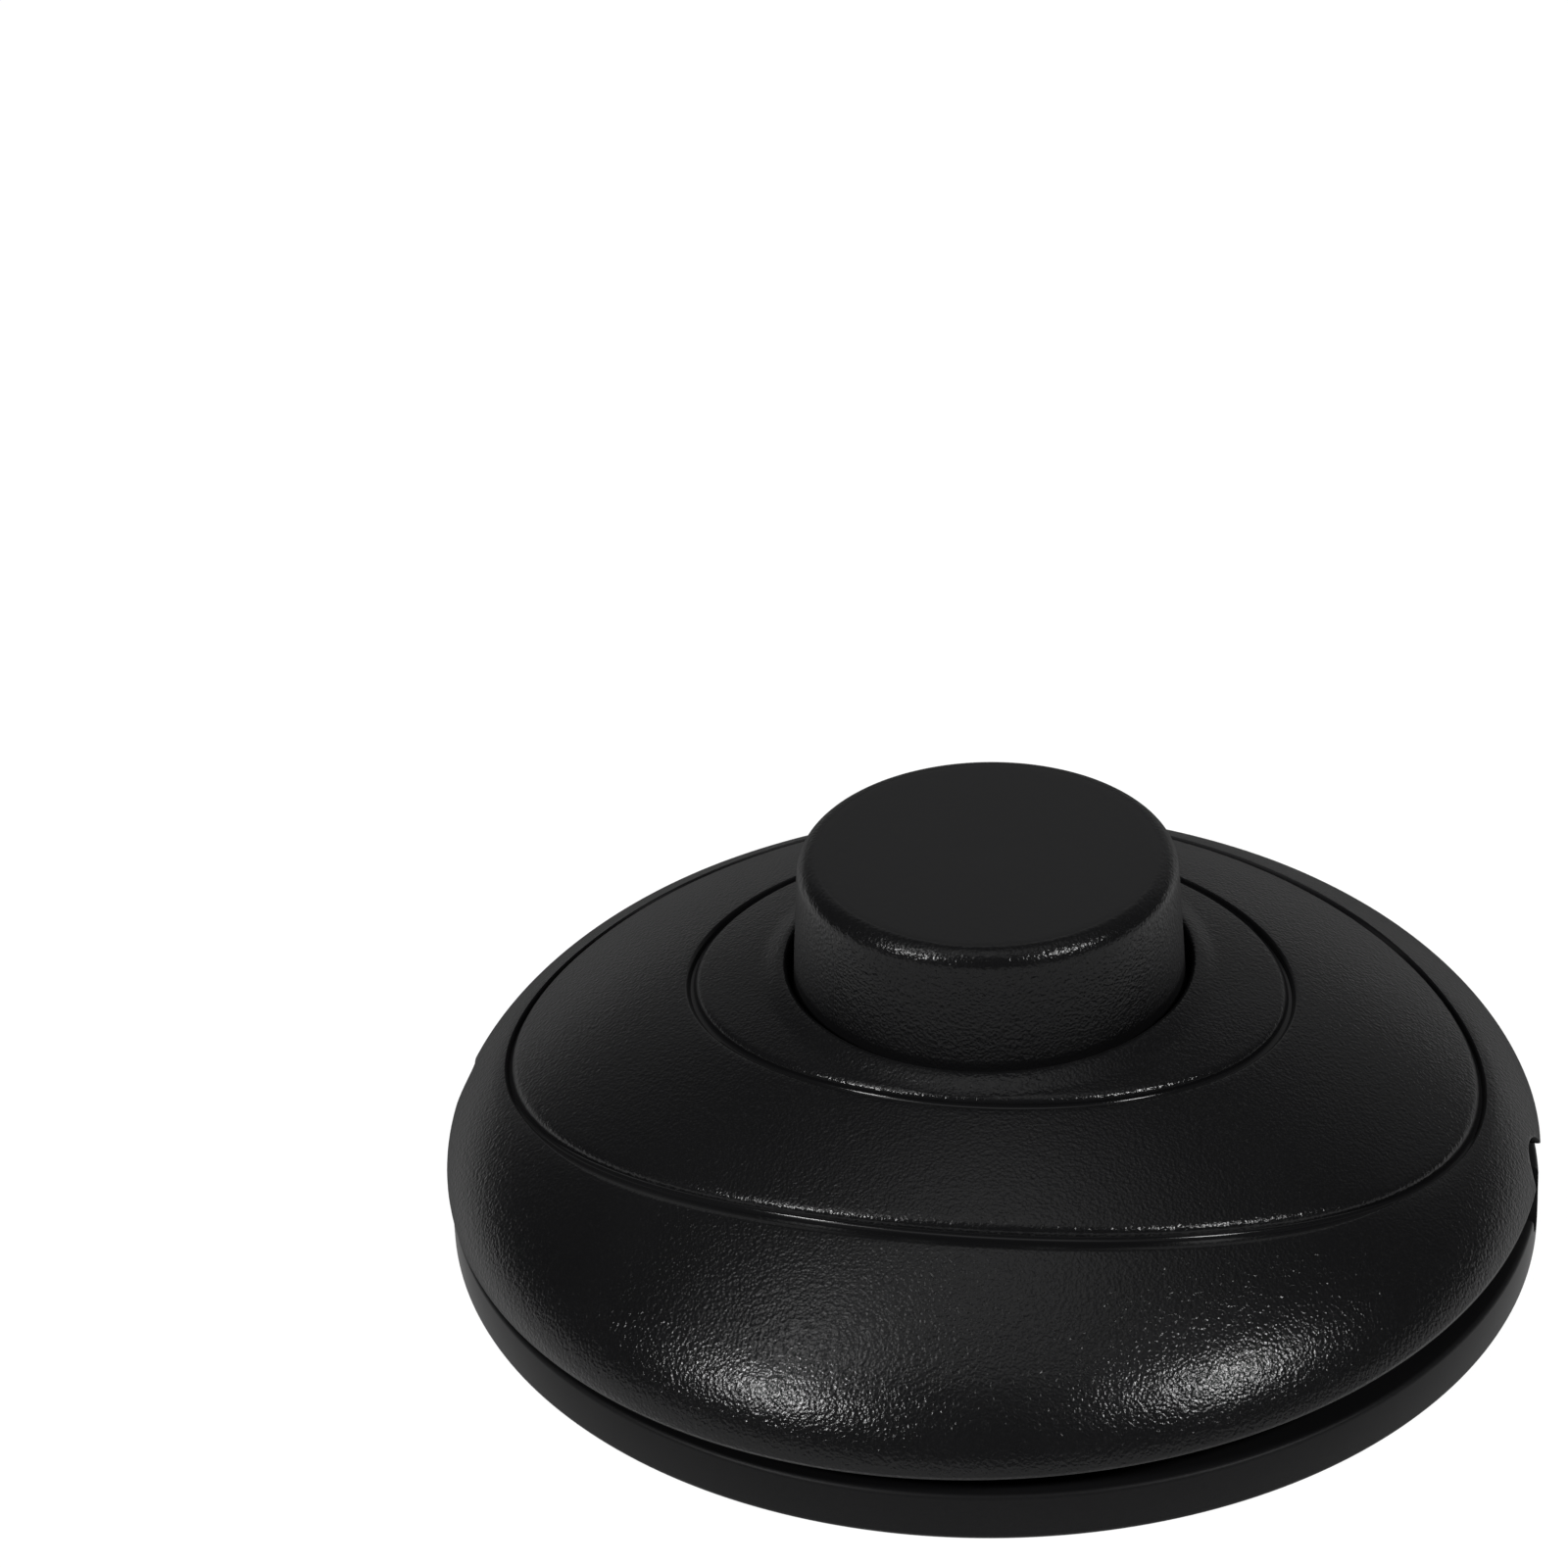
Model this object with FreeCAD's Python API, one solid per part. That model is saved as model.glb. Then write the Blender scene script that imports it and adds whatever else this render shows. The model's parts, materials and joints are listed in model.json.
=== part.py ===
"""Round in-line foot switch for a lamp cord, in millimetres.

Frame: +Z up, origin at the centre of the underside, cord entries on -X and +X, front towards -Y.
A domed cover stands on a disc base. The push button drives a ratchet rotor that carries the contact bridge.
"""
import FreeCAD
import Part

import math
import os

from FreeCAD import Vector

# Cover: a spherical dome, a full shoulder and a short skirt
cover_radius = 34.0
dome_top = 19.05
shoulder_inset = 3.6
shoulder_height = 9.46
shoulder_reach = 1.8
flank_reach = 2.0
rim_height = 4.3
rim_tuck = 0.3
cover_wall = 2.0
rim_wall = 2.2

# Lip round the button and the two oval grooves, the inner one round the hole, the outer one inside the edge
lip_round = 0.7
lip_rise = 0.5
collar_wall = 1.6
collar_drop = 1.4
inner_oval_ends = 6.05
inner_oval_sides = 2.25
outer_oval_ends = 3.8
outer_oval_sides = 11.1
groove_width = 0.5
groove_depth = 0.45

# Seam between cover and base: the cover sits closer at the left than at the right
seam_narrow = 0.1
seam_wide = 2.0
seam_heading = -5.0

# Base
base_inset = 0.2
base_height = 3.2
base_floor = 2.2
base_top_round = 0.3
base_bottom_round = 0.4
ring_rise = 2.0
ring_wall = 1.7
ring_clearance = 0.5

# Push button
button_rise = 6.15
button_top_radius = 11.55
button_foot_radius = 12.15
button_top_round = 1.2
button_crown = 2.2
button_wall = 1.8
button_clearance = 0.2
button_travel = 3.0
flange_width = 2.2
flange_height = 1.4
flange_clearance = 0.2
socket_wall = 1.4

# Ratchet: driver above, rotor below, both on one pin
pin_radius = 1.2
pin_top = 15.5
pin_seat = 0.8
rotor_running_fit = 0.05
driver_clearance = 0.15
step_count = 8
tooth_backlash = 4.0
tooth_land = 0.02
flank_sections = 5
tooth_gap = 0.3
crown_inner_radius = 2.8
crown_outer_radius = 6.4
rotor_disc_radius = 7.4
rotor_disc_height = 1.4
rotor_end_play = 0.2
driver_disc_height = 1.3
stem_radius = 2.6
stem_fit = 0.03
boss_radius = 3.0

# Contacts and terminals
strip_thickness = 0.7
strip_width = 5.0
strip_height = 3.9
strip_fold = 3.0
fold_radius = 0.6
contact_margin = 0.7
contact_radius = 1.5
contact_height = 0.6
contact_shank = 0.8
contact_tail = 0.4
contact_tail_radius = 1.2
contact_gap = 0.2
bridge_thickness = 0.7
bridge_overhang = 1.4
bridge_arm = 3.2
bridge_fit = 0.03
live_end_gap = 1.2
link_boss_gap = 1.2
link_reach = 8.5
strip_end = 3.0
terminal_post = 3.0
clamp_plate = 4.6
clamp_plate_thickness = 0.8

# Rotor cage and return spring
cage_wall = 1.2
cage_clearance = 0.8
cage_top = 12.2
cage_plate = 1.2
cage_hole_clearance = 0.5
cage_ear = 3.4
cage_ear_height = 1.6
cage_ear_heading = 45.0
cage_head_gap = 0.8
window_clearance = 0.6
spring_wire = 0.45
spring_turns = 5.0
spring_seat_gap = 0.1

# Cord entries and cord grips
cord_bore_radius = 2.9
cord_axis = 3.9
trough_clearance = 0.4
grip_ring_gap = 3.6
grip_length = 5.0
grip_thickness = 1.4
grip_height = 4.4
grip_screw_gap = 3.5
grip_post = 2.4

# Screws: shank radius, head radius, head height
terminal_screw = (1.25, 2.1, 1.7)
grip_screw = (1.1, 1.9, 1.4)
cage_screw = (1.0, 1.8, 1.3)
case_screw = (1.5, 2.8, 1.6)
screw_hole_fit = 0.1
screw_floor = 1.0
slot_width = 0.6
slot_depth = 0.7
case_screw_margin = 5.1
case_screw_sink = 0.3
case_screw_length = 9.0
cross_reach = 1.7
case_pad = 4.0
case_boss = 3.2
boss_gap = 0.1

# Heights and radii that follow from the driving dimensions
shoulder_radius = cover_radius - shoulder_inset
dome_rise = dome_top - shoulder_height
dome_radius = (shoulder_radius ** 2 + dome_rise ** 2) / (2 * dome_rise)
dome_centre = dome_top - dome_radius
inner_dome = dome_radius - cover_wall
button_top = dome_top + button_rise
hole_radius = button_foot_radius + button_clearance
inner_oval = (hole_radius + inner_oval_ends, hole_radius + inner_oval_sides)
outer_oval = (cover_radius - outer_oval_ends, cover_radius - outer_oval_sides)
base_radius = cover_radius - base_inset
skirt_radius = cover_radius - rim_wall
ring_outer = skirt_radius - ring_clearance
ring_inner = ring_outer - ring_wall
ring_height = base_height + ring_rise
step_angle = 360.0 / step_count
tooth_angle = step_angle - tooth_backlash
tooth_height = button_travel * tooth_angle / step_angle
strip_top = strip_height + strip_thickness
contact_reach = boss_radius + contact_margin + strip_width / 2
bridge_radius = contact_reach + bridge_overhang
bridge_bottom = strip_top + contact_height + contact_gap
rotor_disc_bottom = bridge_bottom + bridge_thickness
rotor_disc_top = rotor_disc_bottom + rotor_disc_height
rotor_foot = bridge_bottom - bridge_thickness
boss_top = rotor_foot - rotor_end_play
driver_tips = rotor_disc_top + tooth_gap + button_travel
driver_root = driver_tips + tooth_height
driver_disc_top = driver_root + driver_disc_height
cage_inner = max(rotor_disc_radius, bridge_radius) + cage_clearance
cage_outer = cage_inner + cage_wall
cage_hole = crown_outer_radius + cage_hole_clearance
cage_screw_reach = cage_outer + cage_head_gap + cage_screw[1]
grip_reach = ring_inner - grip_ring_gap - grip_length / 2
grip_screw_offset = cord_bore_radius + grip_screw_gap
live_end = grip_reach - grip_length / 2 - live_end_gap
live_reach = live_end - strip_thickness - fold_radius - strip_end
case_screw_offset = ring_inner - case_screw_margin
link_offset = case_screw_offset - case_boss - link_boss_gap - strip_width / 2
cup_top = button_top - button_crown
cup_radius = button_foot_radius - button_wall
UP = Vector(0, 0, 1)
ALONG = Vector(1, 0, 0)


def dome_height(radius, reach=dome_radius):
    """Height of a sphere about the dome's centre, over a point at this radius."""
    return dome_centre + math.sqrt(reach ** 2 - radius ** 2)


def at(radius, height):
    """Point of a turned profile, in the XZ plane."""
    return Vector(radius, 0, height)


def polar(radius, degrees, height=0.0):
    turn = math.radians(degrees)
    return Vector(radius * math.cos(turn), radius * math.sin(turn), height)


def line(start, end):
    return Part.LineSegment(start, end).toShape()


def arc(start, middle, end):
    return Part.Arc(start, middle, end).toShape()


def bezier(*poles):
    curve = Part.BezierCurve()
    curve.setPoles(list(poles))
    return curve.toShape()


def turned(edges):
    """Solid of revolution about Z from the edges of a closed half section."""
    face = Part.Face(Part.Wire(edges))
    return face.revolve(Vector(0, 0, 0), UP, 360)


def turned_points(*points):
    """Solid of revolution from a closed half section of straight lines."""
    corners = [at(*point) for point in points]
    return turned([line(a, b) for a, b in zip(corners, corners[1:] + corners[:1])])


def post(radius, bottom, top, x=0.0, y=0.0):
    return Part.makeCylinder(radius, top - bottom, Vector(x, y, bottom), UP)


def bar(radius, start, end, height):
    """Round bar along X."""
    return Part.makeCylinder(radius, end - start, Vector(start, 0, height), ALONG)


def block(low, high):
    size = high - low
    return Part.makeBox(size.x, size.y, size.z, low)


def oval_prism(half_length, half_width, bottom, top):
    ellipse = Part.Ellipse(Vector(0, 0, bottom), half_length, half_width).toShape()
    return Part.Face(Part.Wire([ellipse])).extrude(UP * (top - bottom))


def round_between(centre, radius, start, end):
    """Arc of a circle in the XZ plane between two angles in degrees."""
    def on_circle(degrees):
        turn = math.radians(degrees)
        return at(centre[0] + radius * math.cos(turn), centre[1] + radius * math.sin(turn))
    return arc(on_circle(start), on_circle((start + end) / 2), on_circle(end))


def lip_circle():
    """Centre of the lip's round, and the point where it runs into the dome."""
    centre_radius = hole_radius + lip_round
    centre_height = dome_height(centre_radius) + lip_rise - lip_round
    offset_z = centre_height - dome_centre
    distance = math.hypot(centre_radius, offset_z)
    along = (distance ** 2 + dome_radius ** 2 - lip_round ** 2) / (2 * distance)
    across = math.sqrt(dome_radius ** 2 - along ** 2)
    meet_radius = (along * centre_radius + across * offset_z) / distance
    return (centre_radius, centre_height), at(meet_radius, dome_height(meet_radius))


def cover_shell():
    lip_centre, lip_foot = lip_circle()
    collar_outer = hole_radius + collar_wall
    collar_bottom = collar_base()
    shoulder = at(shoulder_radius, dome_height(shoulder_radius))
    slope = math.asin(shoulder_radius / dome_radius)
    shoulder_handle = shoulder + at(math.cos(slope), -math.sin(slope)) * shoulder_reach
    widest = at(cover_radius, rim_height)
    hem = at(cover_radius - rim_tuck, base_height)
    hem_inside = at(skirt_radius, base_height)
    skirt_top = at(skirt_radius, dome_height(skirt_radius, inner_dome))
    collar_top = at(collar_outer, dome_height(collar_outer, inner_dome))
    dome_middle = (lip_foot.x + shoulder_radius) / 2
    inner_middle = (skirt_radius + collar_outer) / 2
    foot_angle = math.degrees(math.atan2(lip_foot.z - lip_centre[1], lip_foot.x - lip_centre[0]))
    lip_wall = at(hole_radius, lip_centre[1])
    return turned([
        bezier(hem, at(cover_radius, (rim_height + base_height) / 2), widest),
        bezier(widest, widest + UP * flank_reach, shoulder_handle, shoulder),
        arc(shoulder, at(dome_middle, dome_height(dome_middle)), lip_foot),
        round_between(lip_centre, lip_round, foot_angle, 180),
        line(lip_wall, at(hole_radius, collar_bottom)),
        line(at(hole_radius, collar_bottom), at(collar_outer, collar_bottom)),
        line(at(collar_outer, collar_bottom), collar_top),
        arc(collar_top, at(inner_middle, dome_height(inner_middle, inner_dome)), skirt_top),
        line(skirt_top, hem_inside),
        line(hem_inside, hem),
    ])


def collar_base():
    """Underside of the guide collar, which stops the button's flange."""
    return dome_height(hole_radius + collar_wall, inner_dome) - collar_drop


def seam_cutter():
    """Everything below the sloping seam plane."""
    span = 4 * cover_radius
    slope = math.degrees(math.atan((seam_wide - seam_narrow) / (2 * cover_radius)))
    cutter = Part.makeBox(span, span, span, Vector(-span / 2, -span / 2, -span))
    cutter.rotate(Vector(0, 0, 0), Vector(0, 1, 0), -slope)
    cutter.rotate(Vector(0, 0, 0), UP, seam_heading)
    cutter.translate(UP * (base_height + (seam_narrow + seam_wide) / 2))
    return cutter


def groove_cutter(oval):
    """Oval ring of even depth that follows the dome."""
    outside = oval_prism(oval[0] + groove_width / 2, oval[1] + groove_width / 2, 0, dome_top)
    inside = oval_prism(oval[0] - groove_width / 2, oval[1] - groove_width / 2, 0, dome_top)
    below = Part.makeSphere(dome_radius - groove_depth, Vector(0, 0, dome_centre))
    return outside.cut(inside).cut(below)


def cord_cutter(radius, start, end):
    return bar(radius, start, end, cord_axis).fuse(bar(radius, -end, -start, cord_axis))


def housing_cover():
    shell = cover_shell().cut(seam_cutter())
    under_dome = Part.makeSphere(dome_radius - cover_wall / 2, Vector(0, 0, dome_centre))
    bosses = []
    pilots = []
    for side in (-1, 1):
        y = side * case_screw_offset
        bosses.append(post(case_boss, base_height + boss_gap, dome_top, 0, y).common(under_dome))
        pilots.append(post(case_screw[0] + screw_hole_fit, 0, case_screw_length + boss_gap, 0, y))
    cutters = [groove_cutter(inner_oval), groove_cutter(outer_oval)]
    cutters.append(cord_cutter(cord_bore_radius, ring_inner, cover_radius + rim_wall))
    return shell.multiFuse(bosses).cut(cutters + pilots)


def push_button():
    flange_top = collar_base() - flange_clearance
    flange_bottom = flange_top - flange_height
    flange_radius = hole_radius + flange_width
    draft = math.atan((button_foot_radius - button_top_radius) / (button_top - flange_top))
    round_top = button_top - button_top_round
    side_top = at(button_top_radius + button_top_round * math.tan(draft), round_top)
    crown_edge = at(button_top_radius - button_top_round, button_top)
    middle = math.radians(45)
    round_middle = at(button_top_radius - button_top_round * (1 - math.cos(middle)),
                      button_top - button_top_round * (1 - math.sin(middle)))
    cup_mouth = at(cup_radius, flange_bottom)
    cup_end = at(button_top_radius - button_wall, cup_top)
    flange_low = at(flange_radius, flange_bottom)
    flange_high = at(flange_radius, flange_top)
    foot = at(button_foot_radius, flange_top)
    cap = turned([
        line(at(0, cup_top), cup_end),
        line(cup_end, cup_mouth),
        line(cup_mouth, flange_low),
        line(flange_low, flange_high),
        line(flange_high, foot),
        line(foot, side_top),
        arc(side_top, round_middle, crown_edge),
        line(crown_edge, at(0, button_top)),
        line(at(0, button_top), at(0, cup_top)),
    ])
    socket_inner = stem_radius + stem_fit
    socket = post(socket_inner + socket_wall, driver_disc_top, cup_top + button_crown / 2)
    return cap.fuse(socket).cut(post(socket_inner, driver_disc_top, cup_top))


def saw_crown():
    """Ring of saw teeth on the XY plane, whose helical flanks rise with the angle."""
    outlines = []
    for index in range(flank_sections):
        angle = tooth_angle * index / (flank_sections - 1)
        top = tooth_land + tooth_height * angle / tooth_angle
        corners = [polar(crown_inner_radius, angle), polar(crown_outer_radius, angle),
                   polar(crown_outer_radius, angle, top), polar(crown_inner_radius, angle, top)]
        outlines.append(Part.makePolygon(corners + corners[:1]))
    tooth = Part.makeLoft(outlines, True, True)
    teeth = []
    for index in range(step_count):
        copy = tooth.copy()
        copy.rotate(Vector(0, 0, 0), UP, index * step_angle)
        teeth.append(copy)
    return teeth


def ratchet_rotor():
    disc = post(rotor_disc_radius, rotor_disc_bottom, rotor_disc_top)
    hub = post(stem_radius, rotor_foot, rotor_disc_bottom + rotor_disc_height / 2)
    bore = post(pin_radius + rotor_running_fit, 0, button_top)
    crown = saw_crown()
    for tooth in crown:
        tooth.translate(UP * rotor_disc_top)
    return disc.multiFuse([hub] + crown).cut(bore)


def drive_plunger():
    """Driver: the same crown turned upside down, so that its flanks lie along the rotor's flanks."""
    disc = post(crown_outer_radius, driver_root, driver_disc_top)
    stem = post(stem_radius, driver_root, cup_top - tooth_gap)
    crown = saw_crown()
    for tooth in crown:
        tooth.rotate(Vector(0, 0, 0), ALONG, 180)
        tooth.rotate(Vector(0, 0, 0), UP, tooth_angle)
        tooth.translate(UP * driver_root)
    bore = post(pin_radius + driver_clearance, 0, pin_top + driver_clearance + button_travel)
    return disc.multiFuse([stem] + crown).cut(bore)


def contact_bridge():
    """Four-armed cross with rounded ends, stamped from sheet."""
    top = rotor_disc_bottom
    arm_half = bridge_arm / 2
    reach = bridge_radius - arm_half
    pieces = []
    for degrees in (0, 90):
        arm = block(Vector(-reach, -arm_half, bridge_bottom), Vector(reach, arm_half, top))
        ends = [post(arm_half, bridge_bottom, top, -reach), post(arm_half, bridge_bottom, top, reach)]
        arm = arm.multiFuse(ends)
        arm.rotate(Vector(0, 0, 0), UP, degrees + step_angle)
        pieces.append(arm)
    hub_ring = post(stem_radius + arm_half, bridge_bottom, top)
    cross = pieces[0].multiFuse([pieces[1], hub_ring])
    return cross.cut(post(stem_radius + bridge_fit, bridge_bottom, top)).removeSplitter()


def axle_pin():
    pin = post(pin_radius, pin_seat, pin_top)
    return pin.makeChamfer(pin_radius / 4, [pin.Edges[0]])


def folded_strip(start, end, folds, holes, offset=0.0):
    """Flat strip along X with folded-up ends and round holes given as (x, radius)."""
    flat = block(Vector(start, offset - strip_width / 2, strip_height),
                 Vector(end, offset + strip_width / 2, strip_top))
    bend_outer = fold_radius + strip_thickness
    pieces = []
    for x, side in folds:
        centre = Vector(x, offset - strip_width / 2, strip_top + fold_radius)
        bend = Part.makeCylinder(bend_outer, strip_width, centre, Vector(0, 1, 0))
        bend = bend.cut(Part.makeCylinder(fold_radius, strip_width, centre, Vector(0, 1, 0)))
        corner = centre + Vector(side * bend_outer, strip_width, -bend_outer)
        low = Vector(min(centre.x, corner.x), centre.y, corner.z)
        high = Vector(max(centre.x, corner.x), corner.y, centre.z)
        pieces.append(bend.common(block(low, high)))
        inner_face = x + side * fold_radius
        outer_face = x + side * bend_outer
        low = Vector(min(inner_face, outer_face), offset - strip_width / 2, centre.z)
        high = Vector(max(inner_face, outer_face), offset + strip_width / 2, centre.z + strip_fold)
        pieces.append(block(low, high))
    cutters = [post(radius, 0, cage_top, x, offset) for x, radius in holes]
    return flat.multiFuse(pieces).removeSplitter().cut(cutters)


def live_strip(side):
    """Strip from a terminal to the contact under the bridge, with a rounded inner end."""
    outer_end = live_reach + strip_end
    tongue = post(strip_width / 2, strip_height, strip_top, contact_reach)
    terminal_hole = (live_reach, terminal_screw[0] + screw_hole_fit)
    strip = folded_strip(contact_reach, outer_end, [(outer_end, 1)], [terminal_hole])
    strip = strip.fuse(tongue).removeSplitter()
    strip = strip.cut(post(contact_shank, 0, cage_top, contact_reach))
    if side < 0:
        strip.rotate(Vector(0, 0, 0), UP, 180)
    return strip


def live_contact(side):
    """Contact rivet: domed head over the strip, shank through it, tail below it."""
    x = side * contact_reach
    head = post(contact_radius, strip_top, strip_top + contact_height, x)
    head = head.makeFillet(contact_height / 3, [head.Edges[0]])
    shank = post(contact_shank, strip_height, strip_top, x)
    tail = post(contact_tail_radius, strip_height - contact_tail, strip_height, x)
    return head.multiFuse([shank, tail])


def neutral_link():
    end = link_reach + strip_end
    hole = terminal_screw[0] + screw_hole_fit
    return folded_strip(-end, end, [(-end, -1), (end, 1)],
                        [(-link_reach, hole), (link_reach, hole)], link_offset)


def slotted_screw(size, seat, tip, x, y):
    """Pan-head screw with a straight slot, its head standing on the seat height."""
    shank_radius, head_radius, head_height = size
    head = post(head_radius, seat, seat + head_height, x, y)
    head = head.makeFillet(head_height / 3, [head.Edges[0]])
    shank = post(shank_radius, tip, seat, x, y)
    top = seat + head_height
    slot = block(Vector(x - head_radius, y - slot_width / 2, top - slot_depth),
                 Vector(x + head_radius, y + slot_width / 2, top))
    return head.fuse(shank).cut(slot)


def terminal_places():
    live = [(-live_reach, 0.0), (live_reach, 0.0)]
    neutral = [(-link_reach, link_offset), (link_reach, link_offset)]
    return live, neutral


def terminal_screws(places):
    seat = strip_top + clamp_plate_thickness
    return Part.makeCompound([slotted_screw(terminal_screw, seat, screw_floor, x, y) for x, y in places])


def wire_clamp_plates():
    live, neutral = terminal_places()
    half = clamp_plate / 2
    plates = []
    for x, y in live + neutral:
        plate = block(Vector(x - half, y - half, strip_top),
                      Vector(x + half, y + half, strip_top + clamp_plate_thickness))
        hole = post(terminal_screw[0] + screw_hole_fit, 0, cage_top, x, y)
        plates.append(plate.cut(hole))
    return Part.makeCompound(plates)


def grip_places(side):
    return [(side * grip_reach, -grip_screw_offset), (side * grip_reach, grip_screw_offset)]


def cord_clamp(side):
    """Saddle over the cord with an ear on each side."""
    x = side * grip_reach
    ear = grip_screw_offset + grip_post
    low = Vector(x - grip_length / 2, -ear, grip_height)
    high = Vector(x + grip_length / 2, ear, grip_height + grip_thickness)
    ears = block(low, high)
    arch = bar(cord_bore_radius + grip_thickness, low.x, high.x, cord_axis)
    above = block(Vector(low.x, -ear, grip_height), Vector(high.x, ear, cage_top))
    saddle = ears.fuse(arch.common(above)).cut(bar(cord_bore_radius, low.x, high.x, cord_axis))
    holes = [post(grip_screw[0] + screw_hole_fit, 0, cage_top, px, py) for px, py in grip_places(side)]
    return saddle.removeSplitter().cut(holes)


def clamp_screws(side):
    seat = grip_height + grip_thickness
    return Part.makeCompound([slotted_screw(grip_screw, seat, screw_floor, x, y)
                              for x, y in grip_places(side)])


def cage_screw_places():
    spots = [polar(cage_screw_reach, cage_ear_heading + turn) for turn in (0, 180)]
    return [(spot.x, spot.y) for spot in spots]


def rotor_cage():
    """Tube with a holed top plate, an ear on each side and windows for the strips."""
    tube = turned_points((cage_inner, base_floor), (cage_outer, base_floor), (cage_outer, cage_top),
                         (cage_hole, cage_top), (cage_hole, cage_top - cage_plate),
                         (cage_inner, cage_top - cage_plate))
    ears = []
    holes = []
    ear_top = base_floor + cage_ear_height
    for turn in (0, 180):
        tab = block(Vector(cage_inner + cage_wall / 2, -cage_ear / 2, base_floor),
                    Vector(cage_screw_reach, cage_ear / 2, ear_top))
        ear = tab.fuse(post(cage_ear / 2, base_floor, ear_top, cage_screw_reach))
        ear.rotate(Vector(0, 0, 0), UP, cage_ear_heading + turn)
        ears.append(ear)
    for x, y in cage_screw_places():
        holes.append(post(cage_screw[0] + screw_hole_fit, 0, cage_top, x, y))
    half = strip_width / 2 + window_clearance
    window_top = strip_top + window_clearance
    window = block(Vector(-cage_outer, -half, base_floor), Vector(cage_outer, half, window_top))
    return tube.multiFuse(ears).cut(holes + [window])


def cage_screws():
    seat = base_floor + cage_ear_height
    return Part.makeCompound([slotted_screw(cage_screw, seat, screw_floor, x, y)
                              for x, y in cage_screw_places()])


def return_spring():
    """Open coil between the cage plate and the underside of the button."""
    bottom = cage_top + spring_seat_gap + spring_wire
    top = cup_top - spring_seat_gap - spring_wire
    coil_radius = (cage_hole + cage_outer) / 2
    helix = Part.makeHelix((top - bottom) / spring_turns, top - bottom, coil_radius)
    section = Part.Wire([Part.Circle(Vector(coil_radius, 0, 0), Vector(0, 1, 0), spring_wire).toShape()])
    coil = Part.Wire(helix.Edges).makePipeShell([section], True, True)
    coil.translate(UP * bottom)
    return coil


def case_screw_piece(y):
    """Countersunk screw from below with a cross recess."""
    shank_radius, head_radius, head_height = case_screw
    head_top = case_screw_sink + head_height
    screw = turned_points((0, case_screw_sink), (head_radius, case_screw_sink), (shank_radius, head_top),
                          (shank_radius, case_screw_length), (0, case_screw_length))
    depth = case_screw_sink + slot_depth
    for half_x, half_y in ((cross_reach, slot_width / 2), (slot_width / 2, cross_reach)):
        screw = screw.cut(block(Vector(-half_x, -half_y, 0), Vector(half_x, half_y, depth)))
    screw.translate(Vector(0, y, 0))
    return screw


def case_screws():
    return Part.makeCompound([case_screw_piece(y) for y in (-case_screw_offset, case_screw_offset)])


def case_screw_hole(y):
    """Through hole with a countersink that the screw's head seats in."""
    shank_radius, head_radius, head_height = case_screw
    hole_radius_low = head_radius + screw_hole_fit
    hole_radius_high = shank_radius + screw_hole_fit
    hole = turned_points((0, 0), (hole_radius_low, 0), (hole_radius_low, case_screw_sink),
                         (hole_radius_high, case_screw_sink + head_height),
                         (hole_radius_high, ring_height), (0, ring_height))
    hole.translate(Vector(0, y, 0))
    return hole


def base_disc():
    """Disc with rounded edges, a ledge under the cover and a locating ring inside it."""
    top_round = (base_radius - base_top_round, base_height - base_top_round)
    bottom_round = (base_radius - base_bottom_round, base_bottom_round)
    ledge_edge = at(top_round[0], base_height)
    ring_foot = at(ring_outer, base_height)
    ring_edge = at(ring_outer, ring_height)
    ring_lip = at(ring_inner, ring_height)
    floor_edge = at(ring_inner, base_floor)
    return turned([
        line(at(0, 0), at(bottom_round[0], 0)),
        round_between(bottom_round, base_bottom_round, -90, 0),
        line(at(base_radius, bottom_round[1]), at(base_radius, top_round[1])),
        round_between(top_round, base_top_round, 0, 90),
        line(ledge_edge, ring_foot),
        line(ring_foot, ring_edge),
        line(ring_edge, ring_lip),
        line(ring_lip, floor_edge),
        line(floor_edge, at(0, base_floor)),
        line(at(0, base_floor), at(0, 0)),
    ])


def base_plate():
    live, neutral = terminal_places()
    posts = [post(boss_radius, base_floor / 2, boss_top)]
    cutters = [post(pin_radius, pin_seat, boss_top)]
    for x, y in live + neutral:
        posts.append(post(terminal_post, base_floor / 2, strip_height, x, y))
        cutters.append(post(terminal_screw[0] + screw_hole_fit, screw_floor, strip_height, x, y))
    for x, y in grip_places(-1) + grip_places(1):
        posts.append(post(grip_post, base_floor / 2, grip_height, x, y))
        cutters.append(post(grip_screw[0] + screw_hole_fit, screw_floor, grip_height, x, y))
    for side in (-1, 1):
        posts.append(post(case_pad, base_floor / 2, base_height, 0, side * case_screw_offset))
        cutters.append(case_screw_hole(side * case_screw_offset))
    for x, y in cage_screw_places():
        cutters.append(post(cage_screw[0] + screw_hole_fit, screw_floor, base_floor, x, y))
    trough_end = grip_reach - grip_length / 2
    cutters.append(cord_cutter(cord_bore_radius, ring_outer, cover_radius + rim_wall))
    cutters.append(cord_cutter(cord_bore_radius + trough_clearance, trough_end, ring_outer))
    return base_disc().multiFuse(posts).cut(cutters)


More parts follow.
